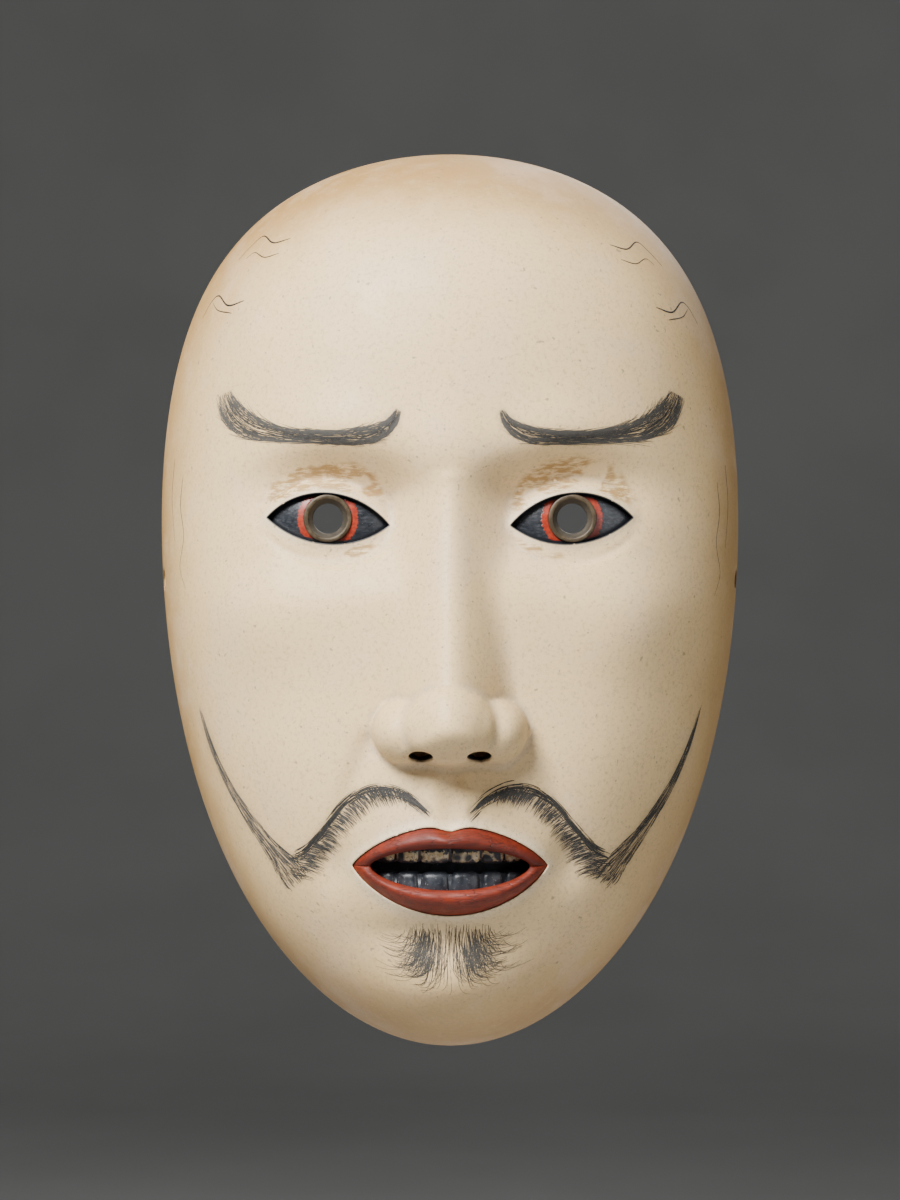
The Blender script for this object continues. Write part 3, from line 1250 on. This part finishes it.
class Paint:
    """A material's nodes, made from short expressions. Places are in millimetres."""

    def __init__(self, name):
        self.material = bpy.data.materials.new(name)
        self.material.use_nodes = True
        self.tree = self.material.node_tree
        self.shader = self.tree.nodes["Principled BSDF"]
        coordinates = self.tree.nodes.new("ShaderNodeTexCoord")
        scaled = self.tree.nodes.new("ShaderNodeVectorMath")
        scaled.operation = "SCALE"
        self.tree.links.new(coordinates.outputs["Object"], scaled.inputs[0])
        scaled.inputs["Scale"].default_value = 1 / MM
        self.place = scaled.outputs[0]
        self.colour = None
        self.normal = None

    def put(self, socket, value):
        if isinstance(value, bpy.types.NodeSocket):
            self.tree.links.new(value, socket)
        elif socket.type == "RGBA" and len(value) == 3:
            socket.default_value = (*value, 1)
        else:
            socket.default_value = value

    def calc(self, operation, a, b=0.0, c=0.0):
        node = self.tree.nodes.new("ShaderNodeMath")
        node.operation = operation
        for socket, value in zip(node.inputs, (a, b, c)):
            self.put(socket, value)
        return node.outputs[0]

    def times(self, a, b):
        return self.calc("MULTIPLY", a, b)

    def attribute(self, name):
        node = self.tree.nodes.new("ShaderNodeAttribute")
        node.attribute_name = name
        return node.outputs["Fac"]

    def axes(self):
        node = self.tree.nodes.new("ShaderNodeSeparateXYZ")
        self.put(node.inputs[0], self.place)
        return node.outputs

    def point(self, x, y, z):
        node = self.tree.nodes.new("ShaderNodeCombineXYZ")
        for socket, value in zip(node.inputs, (x, y, z)):
            self.put(socket, value)
        return node.outputs[0]

    def noise(self, size, detail=3.0, roughness=0.55, stretch=(1, 1, 1), at=None, warp=0.0):
        """Noise of 0 to 1 with features of about size millimetres."""
        mapping = self.tree.nodes.new("ShaderNodeMapping")
        self.put(mapping.inputs["Vector"], at or self.place)
        mapping.inputs["Scale"].default_value = [1 / (size * k) for k in stretch]
        node = self.tree.nodes.new("ShaderNodeTexNoise")
        self.put(node.inputs["Vector"], mapping.outputs[0])
        node.inputs["Scale"].default_value = 1.0
        node.inputs["Detail"].default_value = detail
        node.inputs["Roughness"].default_value = roughness
        node.inputs["Distortion"].default_value = warp
        return node.outputs["Fac"]

    def cracks(self, size, stretch=(1, 1, 1)):
        """The distance to the nearest crack of a crazed surface, 0 on the crack."""
        mapping = self.tree.nodes.new("ShaderNodeMapping")
        self.put(mapping.inputs["Vector"], self.place)
        mapping.inputs["Scale"].default_value = [1 / (size * k) for k in stretch]
        node = self.tree.nodes.new("ShaderNodeTexVoronoi")
        node.feature = "DISTANCE_TO_EDGE"
        self.put(node.inputs["Vector"], mapping.outputs[0])
        node.inputs["Scale"].default_value = 1.0
        return node.outputs["Distance"]

    def ramp(self, value, low, high, to_low=0.0, to_high=1.0):
        node = self.tree.nodes.new("ShaderNodeMapRange")
        node.interpolation_type = "SMOOTHSTEP"
        for socket, given in zip(node.inputs, (value, low, high, to_low, to_high)):
            self.put(socket, given)
        return node.outputs[0]

    def mix(self, share, a, b, blend="MIX"):
        node = self.tree.nodes.new("ShaderNodeMix")
        node.data_type = "RGBA"
        node.blend_type = blend
        colours = [socket for socket in node.inputs if socket.type == "RGBA"]
        self.put(node.inputs["Factor"], share)
        self.put(colours[0], a)
        self.put(colours[1], b)
        return next(socket for socket in node.outputs if socket.type == "RGBA")

    def lay(self, share, colour):
        """A colour laid over what is there, by a share of 0 to 1."""
        self.colour = self.mix(share, self.colour, colour)

    def relief(self, height, depth):
        """Relief of depth millimetres for a height of 0 to 1, added to what is there."""
        node = self.tree.nodes.new("ShaderNodeBump")
        node.inputs["Distance"].default_value = depth * MM
        self.put(node.inputs["Height"], height)
        if self.normal:
            self.put(node.inputs["Normal"], self.normal)
        self.normal = node.outputs[0]

    def finish(self, roughness, **constants):
        self.put(self.shader.inputs["Base Color"], self.colour)
        self.put(self.shader.inputs["Roughness"], roughness)
        self.put(self.shader.inputs["Normal"], self.normal)
        for name, value in constants.items():
            self.put(self.shader.inputs[name.replace("_", " ")], value)
        return self.material


CREAM = (0.84, 0.60, 0.30)
OCHRE = (0.45, 0.255, 0.08)
INK_BLACK = (0.022, 0.023, 0.026)


def skin_material():
    """Cream ground, toned ochre at its edges, worn over the lids and washed grey under the hair."""
    paint = Paint("shell_white_ground")
    tone, shade = paint.attribute("tone"), paint.attribute("shade")
    cloud = paint.noise(26, 4)
    fine_cloud = paint.noise(5, 5, 0.7)
    speckle = paint.noise(0.9, 5, 0.85)
    toned = paint.calc("MULTIPLY_ADD", paint.calc("SUBTRACT", cloud, 0.5), 0.5, tone)
    paint.colour = paint.mix(paint.ramp(toned, -0.05, 1.1), CREAM, OCHRE)
    paint.lay(paint.ramp(fine_cloud, 0.45, 0.75, 0, 0.22), (0.72, 0.55, 0.37))
    pink = paint.times(paint.ramp(paint.noise(18, 3), 0.48, 0.7), 0.22)
    paint.lay(pink, (0.78, 0.60, 0.46))
    shadow = paint.times(shade, paint.ramp(fine_cloud, 0.2, 0.7, 0.55, 1.0))
    paint.lay(paint.times(shadow, 0.42), (0.40, 0.35, 0.29))
    pale = paint.times(paint.attribute("pale"), paint.ramp(fine_cloud, 0.3, 0.6, 0.3, 0.7))
    paint.lay(pale, (0.88, 0.74, 0.52))
    # ochre brushed over the lids and worn through in streaks
    streak = paint.noise(1.5, 5, 0.7, (3.2, 1, 0.5))
    patch = paint.noise(9, 2, 0.5)
    worn = paint.times(paint.attribute("worn"), paint.ramp(patch, 0.40, 0.56))
    worn = paint.times(paint.ramp(worn, 0.12, 0.5), paint.ramp(streak, 0.40, 0.56))
    paint.lay(paint.times(worn, 0.85), (0.36, 0.20, 0.055))
    # grey wash under the hair strokes
    uneven = paint.ramp(paint.noise(0.7, 4, 0.7), 0.25, 0.7, 0.45, 1.0)
    wash = paint.times(paint.attribute("wash"), uneven)
    paint.lay(paint.times(wash, 0.5), (0.095, 0.086, 0.072))
    # fine grey-brown speckle and a few darker specks
    paint.lay(paint.ramp(speckle, 0.49, 0.68, 0, 0.55), (0.36, 0.25, 0.14))
    paint.lay(paint.ramp(speckle, 0.30, 0.44, 0.22, 0), (0.93, 0.75, 0.48))
    specks = paint.ramp(paint.noise(1.3, 1, 0.4), 0.735, 0.775, 0, 0.6)
    paint.lay(specks, (0.24, 0.18, 0.12))
    paint.lay(paint.ramp(paint.attribute("line"), 0.35, 0.75), INK_BLACK)
    brushed = paint.noise(2.2, 4, 0.6, (2.5, 1, 1))
    paint.relief(brushed, 0.05)
    paint.relief(speckle, 0.022)
    paint.relief(worn, -0.03)
    roughness = paint.ramp(fine_cloud, 0.3, 0.7, 0.46, 0.60)
    roughness = paint.calc("ADD", roughness, paint.times(worn, 0.1))
    return paint.finish(roughness, Specular_IOR_Level=0.42)


def wood_material():
    paint = Paint("cypress_wood")
    grain = paint.noise(1.6, 5, 0.65, (1, 0.7, 14))
    rings = paint.noise(6.0, 3, 0.5, (1, 0.6, 9), warp=0.4)
    paint.colour = paint.mix(paint.ramp(grain, 0.3, 0.7), (0.52, 0.34, 0.17), (0.30, 0.17, 0.075))
    paint.lay(paint.ramp(rings, 0.45, 0.6, 0, 0.5), (0.22, 0.12, 0.055))
    stain = paint.ramp(paint.noise(12, 4), 0.45, 0.7, 0, 0.6)
    paint.lay(stain, (0.15, 0.085, 0.045))
    cuts = paint.noise(3.2, 1, 0.3, (1.6, 1, 2.2))
    paint.relief(grain, 0.10)
    paint.relief(paint.ramp(cuts, 0.35, 0.65), 0.28)
    return paint.finish(paint.ramp(grain, 0.3, 0.7, 0.52, 0.72), Specular_IOR_Level=0.35)


def back_material():
    paint = Paint("brown_lacquer")
    cloud = paint.noise(9, 5, 0.65)
    ridge = paint.ramp(paint.attribute("scoop"), 0.42, 0.02)
    rubbed = paint.times(ridge, paint.ramp(cloud, 0.40, 0.62))
    paint.colour = paint.mix(paint.ramp(cloud, 0.3, 0.72), (0.030, 0.011, 0.006), (0.068, 0.025, 0.012))
    paint.lay(paint.times(rubbed, 0.55), (0.15, 0.065, 0.028))
    sweat = paint.ramp(paint.noise(16, 4, 0.6), 0.56, 0.7, 0, 0.5)
    paint.lay(sweat, (0.028, 0.014, 0.010))
    dust = paint.ramp(paint.noise(0.8, 3, 0.7), 0.62, 0.76, 0, 0.35)
    paint.lay(dust, (0.26, 0.18, 0.11))
    grain = paint.noise(1.0, 4, 0.6, (1, 1, 9))
    paint.relief(grain, 0.05)
    paint.relief(paint.noise(0.5, 2), 0.015)
    roughness = paint.ramp(cloud, 0.3, 0.7, 0.24, 0.42)
    roughness = paint.calc("ADD", roughness, paint.times(rubbed, 0.2))
    return paint.finish(roughness, Coat_Weight=0.25, Coat_Roughness=0.2)


def iris_place(paint):
    """A point's x, and its side, height and distance from the middle of its own iris."""
    x, _, z = paint.axes()
    across = paint.calc("SUBTRACT", paint.calc("ABSOLUTE", x), EYE_X)
    up = paint.calc("SUBTRACT", z, IRIS_Z)
    squares = paint.calc("ADD", paint.times(across, across), paint.times(up, up))
    return x, across, up, paint.calc("SQRT", squares)


def eye_material():
    """Blue-black lacquer with a ragged vermilion ring round the iris."""
    paint = Paint("black_lacquer_eye")
    x, across, up, radius = iris_place(paint)
    cosine, sine = paint.calc("DIVIDE", across, radius), paint.calc("DIVIDE", up, radius)
    turned = paint.point(cosine, sine, paint.times(x, 0.02))
    fringe = paint.noise(0.055, 2, 0.6, at=turned)
    streak = paint.noise(0.5, 4, 0.7, (4, 1, 1))
    cloud = paint.noise(2.5, 3)
    paint.colour = paint.mix(paint.ramp(streak, 0.35, 0.7), (0.012, 0.014, 0.018), (0.036, 0.040, 0.047))
    paint.lay(paint.ramp(streak, 0.58, 0.75, 0, 0.5), (0.095, 0.10, 0.105))
    paint.lay(paint.ramp(cloud, 0.5, 0.75, 0, 0.5), (0.020, 0.019, 0.020))
    edge = paint.calc("MULTIPLY_ADD", fringe, 1.3, 6.1)
    red = paint.ramp(paint.calc("SUBTRACT", edge, radius), -0.10, 0.14)
    patchy = paint.ramp(paint.noise(0.8, 3), 0.35, 0.65)
    vermilion = paint.mix(patchy, (0.36, 0.036, 0.012), (0.25, 0.022, 0.010))
    paint.lay(red, vermilion)
    rim = paint.ramp(radius, IRIS_R + 0.02, IRIS_R + 0.30, 0.75, 0)
    paint.lay(rim, (0.05, 0.02, 0.015))
    paint.lay(paint.ramp(paint.attribute("lid"), 0.25, 0.6), (0.010, 0.011, 0.014))
    flecks = paint.ramp(paint.noise(0.35, 2, 0.6), 0.70, 0.76, 0, 0.5)
    paint.lay(flecks, (0.35, 0.33, 0.30))
    paint.relief(streak, 0.05)
    paint.relief(red, 0.03)
    return paint.finish(paint.ramp(cloud, 0.3, 0.7, 0.26, 0.42), Coat_Weight=0.2, Coat_Roughness=0.25)


def iris_material():
    paint = Paint("iris_metal")
    x, _, _, radius = iris_place(paint)
    turning = paint.point(radius, paint.times(x, 0.05), 0.0)
    turned = paint.noise(0.12, 3, 0.6, at=turning)
    cloud = paint.noise(1.6, 4, 0.65)
    paint.colour = paint.mix(paint.ramp(cloud, 0.3, 0.7), (0.046, 0.031, 0.015), (0.098, 0.069, 0.036))
    paint.lay(paint.ramp(turned, 0.5, 0.7, 0, 0.5), (0.036, 0.027, 0.018))
    paint.lay(paint.times(paint.attribute("bevel"), 0.75), (0.068, 0.060, 0.048))
    tarnish = paint.ramp(paint.noise(0.5, 3, 0.7), 0.56, 0.7, 0, 0.55)
    paint.lay(tarnish, (0.026, 0.022, 0.017))
    paint.relief(turned, 0.03)
    paint.relief(cloud, 0.03)
    metallic = paint.ramp(tarnish, 0.0, 0.5, 0.28, 0.15)
    return paint.finish(paint.ramp(cloud, 0.3, 0.7, 0.42, 0.58), Metallic=metallic)


def lip_material(name, light, dark, darkness):
    """Crazed vermilion, darker by darkness towards the mouth."""
    paint = Paint(name)
    across = paint.attribute("across")
    streak = paint.noise(1.1, 5, 0.7, (6, 1, 1))
    cloud = paint.noise(4, 3)
    paint.colour = paint.mix(paint.ramp(streak, 0.35, 0.68), light, dark)
    inner = paint.times(paint.ramp(across, 0.12, 0.5), paint.ramp(cloud, 0.3, 0.7, 0.45, 1.0))
    paint.lay(paint.times(inner, darkness), (0.10, 0.018, 0.010))
    crack = paint.cracks(0.8, (5.5, 1, 0.8))
    crazed_area = paint.ramp(paint.noise(3.5, 3), 0.46, 0.60)
    crazed = paint.times(paint.ramp(crack, 0.02, 0.07, 1, 0), crazed_area)
    paint.lay(paint.times(crazed, 0.6), (0.040, 0.010, 0.006))
    glaze = paint.ramp(streak, 0.60, 0.74, 0, 0.35)
    paint.lay(glaze, (0.42, 0.085, 0.025))
    paint.lay(paint.ramp(across, 0.0, 0.05, 0.5, 0), (0.42, 0.15, 0.07))
    paint.relief(streak, 0.10)
    paint.relief(paint.times(crazed, -1.0), 0.06)
    return paint.finish(paint.ramp(cloud, 0.3, 0.7, 0.46, 0.62), Specular_IOR_Level=0.4)


def teeth_material(name, gilding):
    """Blackened teeth. Where gilding is 1, old cream and gold leaf is left on their lower half."""
    paint = Paint(name)
    up = paint.attribute("up")
    cloud = paint.noise(2.0, 4, 0.6)
    paint.colour = paint.mix(paint.ramp(cloud, 0.3, 0.7), (0.014, 0.017, 0.023), (0.042, 0.049, 0.060))
    streak = paint.noise(0.6, 4, 0.7, (1, 1, 4))
    paint.lay(paint.ramp(streak, 0.58, 0.72, 0, 0.35), (0.085, 0.095, 0.105))
    flecks = paint.ramp(paint.noise(0.28, 1, 0.5), 0.70, 0.735)
    paint.lay(paint.times(flecks, 0.55), (0.55, 0.52, 0.45))
    unevenness = paint.calc("SUBTRACT", paint.noise(1.2, 4, 0.7), 0.5)
    ragged = paint.calc("MULTIPLY_ADD", unevenness, 1.5, up)
    band = paint.times(paint.ramp(ragged, -0.86, -0.72), paint.ramp(ragged, -0.02, -0.14))
    leaf = paint.times(band, paint.ramp(paint.noise(3.4, 1), 0.36, 0.46))
    worn_spots = paint.ramp(paint.noise(0.6, 3, 0.7), 0.66, 0.58)
    leaf = paint.times(leaf, paint.times(worn_spots, gilding))
    patchy = paint.ramp(paint.noise(0.9, 3), 0.4, 0.6)
    gold = paint.mix(patchy, (0.60, 0.46, 0.23), (0.78, 0.69, 0.48))
    paint.lay(leaf, gold)
    paint.relief(cloud, 0.08)
    paint.relief(leaf, 0.08)
    roughness = paint.calc("MULTIPLY_ADD", leaf, 0.25, paint.ramp(cloud, 0.3, 0.7, 0.30, 0.46))
    return paint.finish(roughness, Coat_Weight=0.1, Coat_Roughness=0.3)


def ink_material():
    paint = Paint("ink")
    dry = paint.noise(0.35, 3, 0.7)
    dark = paint.times(paint.attribute("dark"), paint.ramp(dry, 0.3, 0.6, 0.6, 1.0))
    paint.colour = paint.mix(dark, (0.105, 0.096, 0.082), (0.008, 0.008, 0.009))
    paint.relief(dry, 0.02)
    return paint.finish(paint.ramp(dry, 0.3, 0.7, 0.5, 0.65), Specular_IOR_Level=0.3)


make_face_coat(skin_material())
make_carved_shell(wood_material())
make_back_lacquer(back_material())
eye_paint, iris_paint, ink_paint = eye_material(), iris_material(), ink_material()
for side_name, sign in zip(("right", "left"), SIDES):
    make_eye_white(side_name, sign, eye_paint)
    make_iris_ring(side_name, sign, iris_paint)
upper_red = lip_material("vermilion_upper", (0.22, 0.024, 0.007), (0.105, 0.012, 0.005), 0.6)
lower_red = lip_material("vermilion_lower", (0.27, 0.028, 0.006), (0.14, 0.015, 0.005), 0.35)
make_lip("upper_lip", True, upper_red)
make_lip("lower_lip", False, lower_red)
make_teeth("upper_teeth", True, teeth_material("black_lacquer_upper_teeth", 1.0))
make_teeth("lower_teeth", False, teeth_material("black_lacquer_lower_teeth", 0.0))
for ink_name in INK:
    make_ink(ink_name, ink_paint)


# The studio, in metres
def make_floor():
    """A pale floor that curves up into a backdrop well behind the mask."""
    low, wall, bend_r = -0.62, 4.6, 1.8
    profile = [(-3.2, low), (wall - bend_r, low)]
    for angle in np.linspace(0.1, math.pi / 2, 14):
        y = wall - bend_r + bend_r * math.sin(angle)
        profile.append((y, low + bend_r * (1 - math.cos(angle))))
    profile.append((wall, 3.4))
    half_width = 4.2
    points = [(side, y, z) for y, z in profile for side in (-half_width, half_width)]
    faces = [(2 * k, 2 * k + 1, 2 * k + 3, 2 * k + 2) for k in range(len(profile) - 1)]
    mesh = bpy.data.meshes.new("floor")
    mesh.from_pydata(points, [], faces)
    mesh.polygons.foreach_set("use_smooth", [True] * len(faces))
    paint = Paint("floor_paper")
    cloud = paint.noise(420, 3)
    paint.colour = paint.mix(paint.ramp(cloud, 0.3, 0.7), (0.60, 0.60, 0.59), (0.66, 0.66, 0.65))
    paint.relief(paint.noise(1.5, 2), 0.05)
    mesh.materials.append(paint.finish(0.85))
    piece = bpy.data.objects.new("floor", mesh)
    bpy.context.scene.collection.objects.link(piece)


make_floor()


def area_light(name, place, size, power):
    """A square soft light that faces the mask."""
    data = bpy.data.lights.new(name, "AREA")
    data.size = size
    data.energy = power
    light = bpy.data.objects.new(name, data)
    light.location = place
    light.rotation_euler = (-Vector(place)).to_track_quat("-Z", "Y").to_euler()
    bpy.context.scene.collection.objects.link(light)


area_light("key", (-0.38, -0.64, 0.60), 0.40, 27)
area_light("fill", (0.95, -0.85, 0.15), 0.9, 4.5)
area_light("back_fill", (0.5, 1.1, 0.9), 0.9, 9)

world = bpy.data.worlds.new("studio")
world.use_nodes = True
background = world.node_tree.nodes["Background"]
background.inputs["Color"].default_value = (0.5, 0.5, 0.5, 1)
background.inputs["Strength"].default_value = 0.07
bpy.context.scene.world = world

CAMERA_DISTANCE = 0.673
LENS_MM = 85
camera_data = bpy.data.cameras.new("camera")
camera_data.lens = LENS_MM
camera = bpy.data.objects.new("camera", camera_data)
camera.location = (0, -CAMERA_DISTANCE, 0)
camera.rotation_euler = (math.radians(90), 0, 0)
bpy.context.scene.collection.objects.link(camera)
bpy.context.scene.camera = camera
